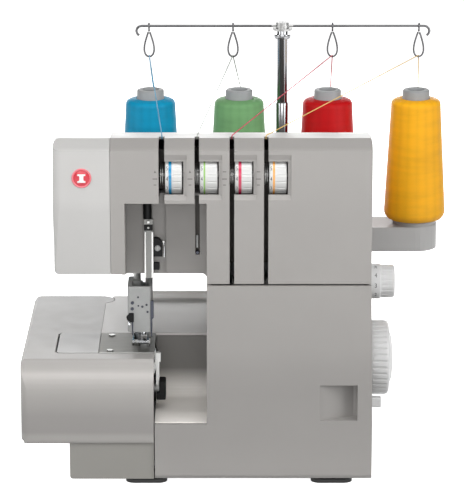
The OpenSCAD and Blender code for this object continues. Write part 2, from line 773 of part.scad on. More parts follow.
module power_switch() {
  color("black") place() translate([124.6, 176, 65]) {
    rotate([0, 0, 7])
      plan(-6.4, 6.4) polygon([[-4, -3], [-2.4, -9.2], [3.4, -9.2], [2.6, 0], [3.4, 9.2],
        [-2.4, 9.2], [-4, 3]]);
    cylinder(h = 13.8, r = 1.6, center = true);
  }
}

module power_inlet() {
  color([0.15, 0.15, 0.15]) place() {
    difference() {
      box([118, 160.4, 22.4], [129, 191.6, 45.6]);
      box([120.5, 164, 26], [140, 188, 42]);
    }
    for (y = [170, 182]) rod_x(120.2, 127, y, 34, 1.6);
  }
}

// ---- opening covers -----------------------------------------------------------------------

module cover_hinge_rod() {
  color("silver") place() {
    rod_x(-66, 118, hinge_y + 0, hinge_z, 1.9);
    for (x = [-66, 112]) difference() {
      box([x, 2.6, 8.6], [x + 6, 28, 12.6]);
      rod_x(x - 1, x + 7, hinge_y, hinge_z, 1.8);
    }
  }
}

module hinge_sleeves() {
  color("gray") place() for (x = [-54, 90]) difference() {
    rod_x(x, x + 14, hinge_y, hinge_z, 3.4);
    rod_x(x - 1, x + 16, hinge_y, hinge_z, 1.9 + fit);
  }
}

module cover_front_outline(d) {
  polygon(concat([[chute_left + 0.5 + d, 6 + d], [127.8 - d, 6 + d], [127.8 - d, 60],
    [125.6 - d, seam_z - 1 - d]], [[column_left - 0.1 + d, seam_z - 1 - d]],
    [[column_left - 0.1 + d, 58.4 - d], [chute_left + 0.5 + d, 58.4 - d]]));
}

module looper_cover() {
  color([0.70, 0.68, 0.665]) place() difference() {
    union() {
      front(cover_front, 1) cover_front_outline(0);
      box([122, cover_front, 12], [125.6, 10, 186]);
      // wall around the finger notch
      plan(59.5, 97.5) polygon([[78, 0], [118, 0], [118, 14], [112, 14], [78, 4]]);
      // knuckles on the hinge sleeves
      for (x = [-50, 94]) side(x, x + 6)
        polygon([[-1, 6.6], [4, 4.9], [9, 8], [9, 12], [4, 15.2], [-1, 15.2]]);
    }
    // bottom edge rounded about the hinge
    difference() {
      box([-80, -6, 0], [140, 4, 9]);
      rod_x(-90, 150, hinge_y, hinge_z, 6);
    }
    plan(61.8, 95.3) polygon([[80, -9], [80, -1.2], [111, 11.4], [114.3, 11.4], [114.3, -9]]);
    rod_x(-90, 150, hinge_y, hinge_z, 3.4 + fit);
  }
}

// The cloth plate's outer form, moved in by d
module cloth_form(d) {
  intersection() {
    plan(d > 0 ? 30 : apron_z, bed_z - d) polygon(rrect(cloth_left + d, -3 + d,
      chute_left + (d > 0 ? 5 : -0.2), body_rear + (d > 0 ? 9 : 0), [7 - d, 2, 2, 9]));
    side(-200, -60) polygon(concat(
      d > 0 ? [[-3 + d, 30]] : bezier([-1, apron_z], [-3, apron_z], [-3, apron_z + 6], 4),
      bezier([-3 + d, 88], [-3 + d, 107 - d], [7 + d, bed_z - d], 8),
      [[body_rear + 10, bed_z - d], [body_rear + 10, d > 0 ? 30 : apron_z]]));
    front(-10, 230) polygon(concat(arc(cloth_left + 5, apron_z + 5, 5 - d, 180, 270, 6),
      [[cloth_left + 5, d > 0 ? 30 : apron_z], [-60, d > 0 ? 30 : apron_z], [-60, bed_z - d],
      [cloth_left + 3.4 + d, bed_z - d], [cloth_left + 0.4 + d, 114.6 - d]]));
  }
}

module cloth_plate() {
  color([0.71, 0.69, 0.675]) place() difference() {
    union() {
      difference() {
        cloth_form(0);
        cloth_form(wall);
        // places of the needle plate and of the fixed rear part of the bed
        box([plate_left - 0.4, 24.8, 30], [-60, 230, 130]);
        box([-160.6, 24.8, bed_z - 1.4], [-110, 89.8, 130]);
        // finger gap beside the inset plate
        box([-162.2, 28, bed_z - 10], [-158, 86.6, bed_z + 1]);
        // thin lower lip, which passes in front of the base cover as the plate swings
        box([-200, -1.4, 30], [-60, 3, 44]);
        // round corner at the pivot
        plan(30, 130) translate([swing_x, swing_y]) difference() {
          square(30);
          circle(ear_r);
        }
      }
      rod_z(112.4, bed_z, swing_x, swing_y, ear_r);
    }
    rod_z(100, 115.2, swing_x, swing_y, 4 + fit);
  }
}

module needle_plate_extension() {
  color([0.62, 0.61, 0.6]) place() {
    plan(bed_z - 1.4, bed_z + 0.2) polygon(rrect(-160.4, 25, plate_left - 0.6, 89.6, [4, 1, 1, 4]));
  }
}

// Screws of the needle plate and pan-head screws of the rear covers
module cover_screws() {
  color("silver") place() {
    for (y = [33, 82]) {
      rod_z(bed_z - 6, bed_z, -112, y, 1.95);
      rod_z(bed_z, bed_z + 0.8, -112, y, 3);
    }
    for (p = [[-140, 211], [-60, 211], [30, 211], [110, 211], [110, 150], [-6, 150], [110, 20], [-6, 20]])
      rod_y(body_rear, body_rear + 1.4, p[0], p[1], 3);
  }
}

base_pan();
rubber_feet();
main_frame();
rear_cover();
face_cover();
upper_front_cover();
slot_liner();
base_cover_left();
bed_cover();
waste_chute();
needle_plate();
lower_knife();
needle_bar_guard();
work_lamp();
tension_posts();
shaft_bushes();
motor();
drive_belt();
cover_hinge_rod();
power_inlet();
cover_screws();
spool_stand();
cone_holders();
cone_cores();
cone_blue();
cone_green();
cone_red();
cone_yellow();
threads();
mast_lower_tube();
main_shaft();
handwheel();
motor_pulley();
needle_rocker();
needle_bar();
needle_clamp();
presser_bar();
presser_bracket();
presser_spring();
presser_foot();
presser_lever();
knife_arm();
upper_knife();
upper_looper();
lower_looper();
feed_dogs();
tension_dial_1();
tension_dial_2();
tension_dial_3();
tension_dial_4();
stitch_length_dial();
feed_ratio_lever();
power_switch();
hinge_sleeves();
looper_cover();
cloth_plate();
needle_plate_extension();
mast_upper_tube();
guide_bar();
thread_eyelets();
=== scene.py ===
"""Looks of the overlock machine: finishes for the CAD nodes, and the fine pieces on them."""
import math
import bmesh
import bpy
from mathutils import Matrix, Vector


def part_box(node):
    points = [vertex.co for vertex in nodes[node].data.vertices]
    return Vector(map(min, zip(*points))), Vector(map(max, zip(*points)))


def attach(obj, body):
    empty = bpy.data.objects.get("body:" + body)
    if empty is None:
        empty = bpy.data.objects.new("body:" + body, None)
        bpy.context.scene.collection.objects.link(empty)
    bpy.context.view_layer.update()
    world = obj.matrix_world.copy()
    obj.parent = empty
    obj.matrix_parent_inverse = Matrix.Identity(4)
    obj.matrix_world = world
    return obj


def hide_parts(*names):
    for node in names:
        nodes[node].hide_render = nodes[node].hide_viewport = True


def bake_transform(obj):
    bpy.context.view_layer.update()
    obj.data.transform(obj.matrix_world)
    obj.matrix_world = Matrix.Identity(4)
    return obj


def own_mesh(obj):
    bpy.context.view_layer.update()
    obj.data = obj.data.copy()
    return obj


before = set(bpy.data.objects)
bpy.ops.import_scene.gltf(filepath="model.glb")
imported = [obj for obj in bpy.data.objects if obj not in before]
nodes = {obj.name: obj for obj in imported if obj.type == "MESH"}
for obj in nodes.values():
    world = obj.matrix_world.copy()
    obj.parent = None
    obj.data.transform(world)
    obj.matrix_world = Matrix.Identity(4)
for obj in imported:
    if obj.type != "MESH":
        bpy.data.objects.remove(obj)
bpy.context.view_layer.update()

MM = 0.001
# The part's drawing frame: X = 0 by the needle side of the column, Y = 0 on the front face
DRAWING = Vector((-0.00875, -0.1485, 0))


def at(x, y, z):
    """A point of the drawing, in millimetres, as a point of the row frame in metres."""
    return DRAWING + Vector((x, y, z)) * MM


# ---- camera, floor and light ---------------------------------------------------------------

CAMERA_PLACE = (-0.00875, -2.7285, 0.910)
CAMERA_TILT = math.radians(75.074)
CAMERA_LENS = 214.07
CAMERA_SENSOR = 36
FLOOR_HALF = 9.0

camera_data = bpy.data.cameras.new("camera")
camera_data.lens = CAMERA_LENS
camera_data.sensor_width = CAMERA_SENSOR
camera_data.clip_end = 60
camera = bpy.data.objects.new("camera", camera_data)
camera.location = CAMERA_PLACE
camera.rotation_euler = (CAMERA_TILT, 0, 0)
bpy.context.scene.collection.objects.link(camera)
bpy.context.scene.camera = camera
bpy.context.scene.view_settings.view_transform = "Standard"


def soft_box(name, place, target, width, height, watts):
    """A rectangular area light aimed at a point, unseen by the camera."""
    data = bpy.data.lights.new(name, "AREA")
    data.shape = "RECTANGLE"
    data.size = width
    data.size_y = height
    data.energy = watts
    lamp = bpy.data.objects.new(name, data)
    lamp.location = place
    lamp.rotation_euler = (Vector(target) - Vector(place)).to_track_quat("-Z", "Y").to_euler()
    lamp.visible_camera = False
    bpy.context.scene.collection.objects.link(lamp)


MIDDLE = (0, 0, 0.16)
# Soft boxes: name, place, aim, width, height, watts
LIGHTS = (
    ("over", (0.0, -0.4, 2.3), MIDDLE, 2.4, 1.6, 2),
    ("front_top", (0.0, -0.8, 1.25), MIDDLE, 1.6, 0.4, 7.6),
    ("front_high", (0.0, -1.9, 1.9), MIDDLE, 2.0, 1.2, 2),
    ("front_strip", (0.0, -2.0, 1.2), MIDDLE, 2.4, 0.2, 4),
    ("front_low", (0.0, -2.4, 0.75), MIDDLE, 2.0, 0.6, 16),
    ("left", (-2.2, -1.2, 1.1), MIDDLE, 1.4, 1.4, 25),
    ("right", (2.2, -1.2, 1.1), MIDDLE, 1.4, 1.4, 36),
    ("rear_low", (-0.1, 1.7, 0.42), MIDDLE, 2.0, 0.5, 16),
    ("rear_high", (0.0, 1.6, 2.0), MIDDLE, 2.0, 1.0, 2),
)
for light in LIGHTS:
    soft_box(*light)

WORLD_STRENGTH = 0.12
world = bpy.data.worlds.new("studio")
world.use_nodes = True
backdrop = world.node_tree.nodes["Background"]
backdrop.inputs["Color"].default_value = (1, 1, 1, 1)
backdrop.inputs["Strength"].default_value = WORLD_STRENGTH
bpy.context.scene.world = world


# ---- finishes ------------------------------------------------------------------------------


def srgb(red, green, blue):
    """An 8-bit screen colour as the linear colour that a shader takes."""
    out = []
    for value in (red, green, blue):
        c = value / 255
        out.append(c / 12.92 if c <= 0.04045 else ((c + 0.055) / 1.055) ** 2.4)
    return out


def shade(colour, factor):
    """A colour made darker or lighter by a factor, as RGBA."""
    return [min(1.0, c * factor) for c in colour[:3]] + [1.0]


# Height range of the finishes that change with height, in millimetres
TALL = 330
# Their weights stand in the ramp divided by this, and are multiplied by it after the ramp
HEADROOM = 2


class Graph:
    """A material under construction: short calls for the few nodes that the finishes use."""

    def __init__(self, name):
        self.material = bpy.data.materials.new(name)
        self.material.use_nodes = True
        self.tree = self.material.node_tree
        self.shader = self.tree.nodes["Principled BSDF"]
        self.place = self.tree.nodes.new("ShaderNodeTexCoord").outputs["Object"]

    def join(self, source, target):
        self.tree.links.new(source, target)

    def noise(self, scale, detail=2.0, stretch=(1, 1, 1)):
        mapping = self.tree.nodes.new("ShaderNodeMapping")
        mapping.inputs["Scale"].default_value = stretch
        node = self.tree.nodes.new("ShaderNodeTexNoise")
        node.inputs["Scale"].default_value = scale
        node.inputs["Detail"].default_value = detail
        self.join(self.place, mapping.inputs["Vector"])
        self.join(mapping.outputs["Vector"], node.inputs["Vector"])
        return node.outputs["Fac"]

    def ramp(self, factor, stops):
        node = self.tree.nodes.new("ShaderNodeValToRGB")
        elements = node.color_ramp.elements
        while len(elements) < len(stops):
            elements.new(0.5)
        for element, (position, colour) in zip(elements, stops):
            element.position = position
            element.color = colour
        self.join(factor, node.inputs["Fac"])
        return node.outputs["Color"]

    def span(self, factor, low, high):
        node = self.tree.nodes.new("ShaderNodeMapRange")
        node.inputs["From Min"].default_value = 0.25
        node.inputs["From Max"].default_value = 0.75
        node.inputs["To Min"].default_value = low
        node.inputs["To Max"].default_value = high
        self.join(factor, node.inputs["Value"])
        return node.outputs["Result"]

    def math(self, kind, a, b=None):
        node = self.tree.nodes.new("ShaderNodeMath")
        node.operation = kind
        for value, socket in ((a, node.inputs[0]), (b, node.inputs[1])):
            if value is None:
                continue
            if isinstance(value, (int, float)):
                socket.default_value = value
            else:
                self.join(value, socket)
        return node.outputs[0]

    def by_height(self, colour, stops):
        """Weights a colour by height above the table, painting light and shade into it; stops are
        (millimetres, weight).
        """
        parts = self.tree.nodes.new("ShaderNodeSeparateXYZ")
        self.join(self.place, parts.inputs["Vector"])
        rise = self.tree.nodes.new("ShaderNodeMapRange")
        rise.inputs["From Max"].default_value = TALL * MM
        self.join(parts.outputs["Z"], rise.inputs["Value"])
        parted = [(z / TALL, [w / HEADROOM] * 3 + [1]) for z, w in stops]
        weights = self.ramp(rise.outputs["Result"], parted)
        scale = self.tree.nodes.new("ShaderNodeVectorMath")
        scale.operation = "MULTIPLY"
        self.join(colour, scale.inputs[0])
        self.join(weights, scale.inputs[1])
        whole = self.tree.nodes.new("ShaderNodeVectorMath")
        whole.operation = "SCALE"
        whole.inputs["Scale"].default_value = HEADROOM
        self.join(scale.outputs["Vector"], whole.inputs[0])
        return whole.outputs["Vector"]

    def bump(self, height, strength, distance, under=None):
        node = self.tree.nodes.new("ShaderNodeBump")
        node.inputs["Strength"].default_value = strength
        node.inputs["Distance"].default_value = distance
        self.join(height, node.inputs["Height"])
        if under is not None:
            self.join(under, node.inputs["Normal"])
        return node.outputs["Normal"]

    def set(self, **values):
        for name, value in values.items():
            socket = self.shader.inputs[name.replace("_", " ")]
            if isinstance(value, bpy.types.NodeSocket):
                self.join(value, socket)
            else:
                socket.default_value = value


def plastic(name, colour, rough=0.42, tone=0.02, grain=1700, depth=0.1, shine=0.5, heights=None):
    """Moulded plastic: a fine spark-eroded stipple over a slight cloudiness of the resin. Given heights, its
    colour is weighted by height, which paints light and shade into it.
    """
    g = Graph(name)
    cloud = g.noise(14, 3)
    stipple = g.noise(grain, 2)
    smear = g.noise(60, 4)
    colour_out = g.ramp(cloud, [(0.3, shade(colour, 1 - tone)), (0.7, shade(colour, 1 + tone))])
    if heights:
        colour_out = g.by_height(colour_out, heights)
    g.set(
        Base_Color=colour_out,
        Roughness=g.span(smear, rough - 0.04, rough + 0.04),
        Normal=g.bump(stipple, depth, 0.0002),
        Specular_IOR_Level=shine,
    )
    return g.material


def metal(name, colour, rough=0.25, stretch=(1, 1, 1), brush=900, depth=0.06, span=0.08, tone=0.05):
    """Metal with its drawing or grinding lines along the axis that stretch leaves long."""
    g = Graph(name)
    lines = g.noise(brush, 3, stretch)
    patch = g.noise(45, 3)
    colour_out = g.ramp(patch, [(0.3, shade(colour, 1 - tone)), (0.7, shade(colour, 1 + tone))])
    g.set(
        Base_Color=colour_out,
        Metallic=1.0,
        Roughness=g.span(lines, max(0.03, rough - span), rough + span),
        Normal=g.bump(lines, depth, 0.0001),
    )
    return g.material


def cast(name, colour):
    """Pressure-cast aluminium: a sandy skin with larger ripples under it."""
    g = Graph(name)
    sand = g.noise(1300, 3)
    ripple = g.noise(120, 3)
    colour_out = g.ramp(ripple, [(0.3, shade(colour, 0.9)), (0.7, shade(colour, 1.08))])
    g.set(
        Base_Color=colour_out,
        Metallic=0.85,
        Roughness=g.span(ripple, 0.42, 0.6),
        Normal=g.bump(sand, 0.25, 0.0003, g.bump(ripple, 0.2, 0.0004)),
    )
    return g.material


def wire_and_hub(name, wire, hub, hub_x, half_width):
    """Drawn steel wire whose clamp in the middle, within half_width of hub_x in metres, is pale zinc."""
    g = Graph(name)
    parts = g.tree.nodes.new("ShaderNodeSeparateXYZ")
    g.join(g.place, parts.inputs["Vector"])
    away = g.math("ABSOLUTE", g.math("SUBTRACT", parts.outputs["X"], hub_x))
    lines = g.noise(900, 3, (0.04, 1, 1))
    outside = g.math("GREATER_THAN", away, half_width)
    uneven = g.math("ADD", outside, g.math("MULTIPLY", lines, 0.1))
    stops = [(0.0, shade(hub, 1.05)), (0.12, shade(hub, 0.95)), (0.97, shade(wire, 1))]
    g.set(
        Base_Color=g.ramp(uneven, stops),
        Metallic=0.9,
        Roughness=g.span(lines, 0.26, 0.36),
        Normal=g.bump(lines, 0.05, 0.0001),
    )
    return g.material


def bead_blasted(name, colour):
    """Bead-blasted zinc casting: a fine even grain, half metallic, with faint cloudy patches."""
    g = Graph(name)
    grain = g.noise(1500, 3)
    patch = g.noise(90, 3)
    colour_out = g.ramp(patch, [(0.3, shade(colour, 0.92)), (0.7, shade(colour, 1.06))])
    g.set(
        Base_Color=colour_out,
        Metallic=0.35,
        Roughness=g.span(patch, 0.46, 0.58),
        Normal=g.bump(grain, 0.18, 0.0002),
    )
    return g.material


def rubber(name, colour=(0.012, 0.012, 0.012)):
    """Black rubber with a little dust in its skin."""
    g = Graph(name)
    skin = g.noise(2200, 3)
    dust = g.noise(70, 4)
    colour_out = g.ramp(dust, [(0.35, shade(colour, 0.8)), (0.75, shade(colour, 1.9))])
    g.set(
        Base_Color=colour_out,
        Roughness=g.span(dust, 0.62, 0.8),
        Normal=g.bump(skin, 0.2, 0.0003),
    )
    return g.material


def thread(name, colour, turns=150.0, leads=9):
    """Polyester thread wound crosswise: two sets of helical lines over each other."""
    g = Graph(name)
    uv = g.tree.nodes.new("ShaderNodeTexCoord").outputs["UV"]
    parts = g.tree.nodes.new("ShaderNodeSeparateXYZ")
    g.join(uv, parts.inputs["Vector"])
    around = g.math("MULTIPLY", parts.outputs["X"], 2 * math.pi * leads)
    along = g.math("MULTIPLY", parts.outputs["Y"], 2 * math.pi * turns)
    first = g.math("SINE", g.math("ADD", along, around))
    second = g.math("SINE", g.math("SUBTRACT", along, around))
    weave = g.math("MAXIMUM", first, second)
    height = g.math("ADD", g.math("MULTIPLY", weave, 0.5), 0.5)
    patch = g.noise(55, 3, (0.35, 0.35, 2.2))
    uneven = g.math("ADD", g.math("MULTIPLY", height, 0.35), g.math("MULTIPLY", patch, 0.65))
    stops = [(0.3, shade(colour, 0.84)), (0.52, shade(colour, 0.98)), (0.72, shade(colour, 1.1))]
    g.set(
        Base_Color=g.ramp(uneven, stops),
        Roughness=g.span(patch, 0.44, 0.56),
        Normal=g.bump(height, 0.5, 0.0002, g.bump(patch, 0.15, 0.0006)),
        Specular_IOR_Level=0.2,
    )
    return g.material


def glaze(name, colour, rough=0.18, tone=0.012):
    """Glossy moulded plastic or enamel, with a faint orange-peel surface."""
    g = Graph(name)
    cloud = g.noise(25, 2)
    peel = g.noise(420, 2)
    colour_out = g.ramp(cloud, [(0.3, shade(colour, 1 - tone)), (0.7, shade(colour, 1 + tone))])
    g.set(
        Base_Color=colour_out,
        Roughness=g.span(peel, rough - 0.03, rough + 0.05),
        Normal=g.bump(peel, 0.03, 0.0002),
        Coat_Weight=0.3,
        Coat_Roughness=0.08,
    )
    return g.material


GREY = srgb(160, 157, 154)
PALE = srgb(193, 192, 190)
# Middle and half width of the guide bar's clamp along X, in millimetres
CLAMP_X = 49
CLAMP_HALF = 10.5
# Weights of the covers' colours with height, as (millimetres, weight), after the photograph's light: painted
# light and shade.
# Body and end cover are painted darker towards the table and on top, as shade. The cloth plate has a painted
# highlight a little below its upper edge, the bed a painted highlight on its raised lip, the chute painted
# light at its foot and painted shade higher up.
BODY_PAINTED_SHADE = [(0, 0.88), (19, 0.88), (41, 0.83), (86, 0.79), (108, 0.82), (131, 0.9), (200, 0.97), (264, 1),
             (313, 1.01), (315, 0.84)]
PALE_PAINTED_LIGHT = [(212, 0.95), (256, 0.98), (268, 1.04), (313, 1.06), (315, 0.87)]
CLOTH_PAINTED_LIGHT = [(42, 1), (47, 0.95), (51, 0.77), (66, 0.79), (76, 0.92), (84, 1.0), (95, 1.16), (101, 1.32),
              (105, 1.44), (109, 1.15), (113, 1.03), (117.2, 1.0), (117.8, 0.78)]
DECK_PAINTED_HIGHLIGHT = [(117.5, 1), (118.6, 1), (119.4, 1.6)]
CHUTE_PAINTED_LIGHT = [(60, 2.35), (67, 1.9), (84, 0.52)]
M = {
    "body": plastic("body_grey", GREY, heights=BODY_PAINTED_SHADE),
    "cloth": plastic("cloth_plate_grey", GREY, rough=0.4, heights=CLOTH_PAINTED_LIGHT),
    "pale": plastic("end_cover_pale", PALE, rough=0.36, depth=0.06, heights=PALE_PAINTED_LIGHT),
    "stand": plastic("stand_grey", srgb(166, 165, 164)),
    # The bed's grey is paler than the body's: painted light on the deck, which lies in the arm's shade.
    "deck": plastic("bed_grey", srgb(210, 207, 204), heights=DECK_PAINTED_HIGHLIGHT),
    "inset": plastic("inset_grey", srgb(160, 159, 158)),
    "knife": metal("bright_knife", srgb(214, 214, 212), rough=0.5, stretch=(1, 1, 0.04), span=0.05),
    "guard": metal("guard_steel", srgb(118, 118, 116), rough=0.42, stretch=(1, 1, 0.04), span=0.06),
    "white": glaze("dial_white", srgb(214, 214, 212)),
    "wheel": plastic("wheel_white", srgb(216, 216, 216), rough=0.32, depth=0.05),
    "dark": plastic("dark_plastic", srgb(38, 38, 39), rough=0.4, tone=0.1),
    "shadow": plastic("liner_plastic", srgb(84, 80, 76), rough=0.6, tone=0.08),
    "chute": plastic("chute_plastic", srgb(168, 165, 161), rough=0.55, heights=CHUTE_PAINTED_LIGHT),
    "black": plastic("black_plastic", srgb(14, 14, 15), rough=0.5, tone=0.15, shine=0.2),
    "core": plastic("cone_core_grey", srgb(146, 148, 149), rough=0.45),
    "frame": cast("cast_aluminium", srgb(176, 178, 180)),
    "chrome": metal("chrome", srgb(225, 227, 229), rough=0.09, span=0.03, depth=0.02, tone=0.02),
    "wire": metal("wire_steel", srgb(104, 104, 106), rough=0.3, span=0.05),
    "guide": wire_and_hub(
        "guide_wire", srgb(104, 104, 106), srgb(176, 176, 175), at(CLAMP_X, 0, 0).x, CLAMP_HALF * MM
    ),
    "tube": metal("mast_tube", srgb(150, 151, 153), rough=0.16, stretch=(1, 1, 0.05), span=0.04, depth=0.02),
    "steel_x": metal("ground_steel_x", srgb(196, 196, 194), rough=0.27, stretch=(0.04, 1, 1)),
    "steel_z": metal("ground_steel_z", srgb(200, 200, 198), rough=0.25, stretch=(1, 1, 0.04)),
    "plate": metal("satin_plate", srgb(128, 127, 122), rough=0.5, stretch=(0.05, 1, 1), span=0.06),
    "satin": bead_blasted("bracket_grey", srgb(162, 163, 162)),
    # The base cover's grey is darker than the body's: partly a tone of its own, partly painted shade under
    # the cloth plate's overhang.
    "base": plastic("base_grey", srgb(138, 136, 131)),
    "switch": glaze("switch_black", srgb(22, 22, 23), rough=0.3, tone=0.1),
    "screw": metal("zinc_screw", srgb(150, 150, 148), rough=0.32, brush=1500),
    "blued": metal("blued_steel", srgb(70, 72, 80), rough=0.35, brush=1500),
    "bronze": metal("sintered_bronze", srgb(176, 128, 72), rough=0.42, brush=2200, depth=0.2),
    "rubber": rubber("foot_rubber"),
    "belt": rubber("belt_rubber", (0.02, 0.02, 0.02)),
    "lens": glaze("lamp_lens", srgb(238, 238, 232), rough=0.3),
    "blue": thread("thread_blue", srgb(0, 142, 182)),
    "green": thread("thread_green", srgb(112, 160, 108)),
    "red": thread("thread_red", srgb(186, 6, 12)),
    "yellow": thread("thread_yellow", srgb(240, 172, 22)),
}

# Each CAD node: its finish and the radius of its softened edges in millimetres
LOOKS = {
    "base_pan": ("dark", 0.4),
    "rubber_feet": ("rubber", 0.5),
    "main_frame": ("frame", 0.5),
    "rear_cover": ("body", 0.6),
    "face_cover": ("pale", 0.7),
    "upper_front_cover": ("body", 0.5),
    "slot_liner": ("shadow", 0.1),
    "base_cover_left": ("base", 0.5),
    "bed_cover": ("deck", 0.5),
    "waste_chute": ("chute", 0.3),
    "needle_plate": ("plate", 0.2),
    "lower_knife": ("steel_z", 0.1),
    "needle_bar_guard": ("guard", 0.2),
    "work_lamp": ("lens", 0.5),
    "tension_posts": ("screw", 0.1),
    "shaft_bushes": ("bronze", 0.2),
    "motor": ("dark", 0.3),
    "drive_belt": ("belt", 0.1),
    "cover_hinge_rod": ("steel_x", 0.0),
    "power_inlet": ("dark", 0.3),
    "cover_screws": ("screw", 0.15),
    "spool_stand": ("stand", 0.7),
    "cone_holders": ("stand", 0.5),
    "cone_cores": ("core", 0.4),
    "mast_lower_tube": ("tube", 0.2),
    "main_shaft": ("steel_x", 0.2),
    "handwheel": ("wheel", 0.4),
    "motor_pulley": ("steel_x", 0.2),
    "needle_rocker": ("steel_z", 0.3),
    "needle_bar": ("chrome", 0.0),
    "needle_clamp": ("chrome", 0.1),
    "presser_bar": ("knife", 0.2),
    "presser_bracket": ("satin", 0.25),
    "presser_spring": ("steel_x", 0.0),
    "presser_foot": ("chrome", 0.15),
    "presser_lever": ("dark", 0.4),
    "knife_arm": ("blued", 0.2),
    "upper_knife": ("knife", 0.2),
    "upper_looper": ("chrome", 0.1),
    "lower_looper": ("chrome", 0.1),
    "feed_dogs": ("steel_x", 0.1),
    "tension_dial_1": ("white", 0.3),
    "tension_dial_2": ("white", 0.3),
    "tension_dial_3": ("white", 0.3),
    "tension_dial_4": ("white", 0.3),
    "stitch_length_dial": ("wheel", 0.3),
    "feed_ratio_lever": ("wheel", 0.3),
    "power_switch": ("switch", 0.3),
    "hinge_sleeves": ("dark", 0.1),
    "looper_cover": ("body", 0.6),
    "cloth_plate": ("cloth", 0.6),
    "needle_plate_extension": ("inset", 0.2),
    "mast_upper_tube": ("tube", 0.2),
    "guide_bar": ("guide", 0.0),
    "thread_eyelets": ("wire", 0.0),
}
EDGE_ANGLE = math.radians(28)


def soften(obj, radius):
    """Joins the faces of a CAD solid and rounds its sharp edges, which then catch the light."""
    weld = obj.modifiers.new("join", "WELD")
    weld.merge_threshold = 0.00002
    if radius > 0:
        bevel = obj.modifiers.new("edges", "BEVEL")
        bevel.width = radius * MM
        bevel.segments = 2
        bevel.limit_method = "ANGLE"
        bevel.angle_limit = EDGE_ANGLE
        bevel.use_clamp_overlap = True
        bevel.miter_outer = "MITER_ARC"


for name, (look, _) in LOOKS.items():
    obj = nodes[name]
    for i in range(len(obj.data.materials)):
        obj.data.materials[i] = M[look]


# ---- mesh makers ---------------------------------------------------------------------------


def make(name, verts, faces, material, body, smooth=30, uv=None):
    """A mesh piece in the row frame, riding on a body."""
    mesh = bpy.data.meshes.new(name)
    mesh.from_pydata([tuple(v) for v in verts], [], faces)
    if uv is not None:
        layer = mesh.uv_layers.new(name="UVMap")
        for loop in mesh.loops:
            layer.data[loop.index].uv = uv[loop.vertex_index]
    work = bmesh.new()
    work.from_mesh(mesh)
    if uv is None:
        bmesh.ops.remove_doubles(work, verts=work.verts, dist=1e-7)
    bmesh.ops.recalc_face_normals(work, faces=work.faces)
    work.to_mesh(mesh)
    work.free()
    mesh.materials.append(material)
    if smooth:
        mesh.shade_smooth()
        mesh.set_sharp_from_angle(angle=math.radians(smooth))
    obj = bpy.data.objects.new(name, mesh)
    bpy.context.scene.collection.objects.link(obj)
    if body:
        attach(obj, body)
    return obj


def lathe(name, profile, centre, axis, material, body, turns=72, smooth=30):
    """Turns a closed outline of (along, radius) pairs, in millimetres, about an axis."""
    along = Vector(axis).normalized()
    side = along.orthogonal().normalized()
    up = along.cross(side)
    verts = []
    for k in range(turns):
        a = 2 * math.pi * k / turns
        out = side * math.cos(a) + up * math.sin(a)
        for h, r in profile:
            verts.append(Vector(centre) + along * h * MM + out * r * MM)
    n = len(profile)
    faces = []
    for k in range(turns):
        for i in range(n):
            a, b = k * n + i, k * n + (i + 1) % n
            c, d = ((k + 1) % turns) * n + (i + 1) % n, ((k + 1) % turns) * n + i
            faces.append((a, b, c, d))
    return make(name, verts, faces, material, body, smooth)


def slab(name, outline, place, depth, material, body, soft=0.0):
    """An outline of drawing (x, z) points made solid from depth[0] to depth[1] along Y."""
    n = len(outline)
    verts = [place(x, depth[0], z) for x, z in outline] + [place(x, depth[1], z) for x, z in outline]
    faces = [tuple(range(n)), tuple(range(2 * n - 1, n - 1, -1))]
    faces += [(i, (i + 1) % n, n + (i + 1) % n, n + i) for i in range(n)]
    obj = make(name, verts, faces, material, body)
    if soft:
        soften(obj, soft)
    return obj


def ring(cx, cy, r, start=0.0, end=360.0, n=24):
    """Points on a circle or on an arc of it, with angles in degrees."""
    full = abs(end - start) >= 360
    steps = n if full else n + 1
    out = []
    for i in range(steps):
        a = math.radians(start + (end - start) * i / n)
        out.append((cx + r * math.cos(a), cy + r * math.sin(a)))
    return out


def rounded(x0, z0, x1, z1, r, n=4):
    """A rectangle with round corners."""
    out = []
    corners = ((x1 - r, z1 - r), (x0 + r, z1 - r), (x0 + r, z0 + r), (x1 - r, z0 + r))
    for quarter, (cx, cz) in enumerate(corners):
        out += ring(cx, cz, r, quarter * 90, quarter * 90 + 90, n)
    return out


def oblong(x0, z0, x1, z1):
    """A rectangle with sharp corners."""
    return [(x0, z0), (x1, z0), (x1, z1), (x0, z1)]


def tube(name, path, radius, material, body, sides=10):
    """A round wire along row-frame points, its ends closed."""
    verts = []
    faces = []
    side = None
    for i, p in enumerate(path):
        along = (path[min(i + 1, len(path) - 1)] - path[max(i - 1, 0)]).normalized()
        if side is None:
            side = along.orthogonal().normalized()
        side = (side - along * side.dot(along)).normalized()
        up = along.cross(side)
        for k in range(sides):
            a = 2 * math.pi * k / sides
            verts.append(p + (side * math.cos(a) + up * math.sin(a)) * radius)
    for i in range(len(path) - 1):
        for k in range(sides):
            a, b = i * sides + k, i * sides + (k + 1) % sides
            faces.append((a, b, b + sides, a + sides))
    faces.append(tuple(range(sides)))
    faces.append(tuple(range(len(verts) - sides, len(verts))))
    return make(name, verts, faces, material, body, smooth=60)


def lettering(text, size):
    """Outline of a printed figure as flat triangles: vertices centred on (0, 0), in millimetres."""
    curve = bpy.data.curves.new("figure", "FONT")
    curve.body = text
    curve.size = size
    curve.align_x = "CENTER"
    curve.resolution_u = 3
    obj = bpy.data.objects.new("figure", curve)
    bpy.context.scene.collection.objects.link(obj)
    graph = bpy.context.evaluated_depsgraph_get()
    mesh = bpy.data.meshes.new_from_object(obj.evaluated_get(graph))
    points = [v.co.copy() for v in mesh.vertices]
    faces = [tuple(p.vertices) for p in mesh.polygons]
    bpy.data.objects.remove(obj)
    bpy.data.meshes.remove(mesh)
    middle = (max(p.y for p in points) + min(p.y for p in points)) / 2
    return [(p.x, p.y - middle) for p in points], faces


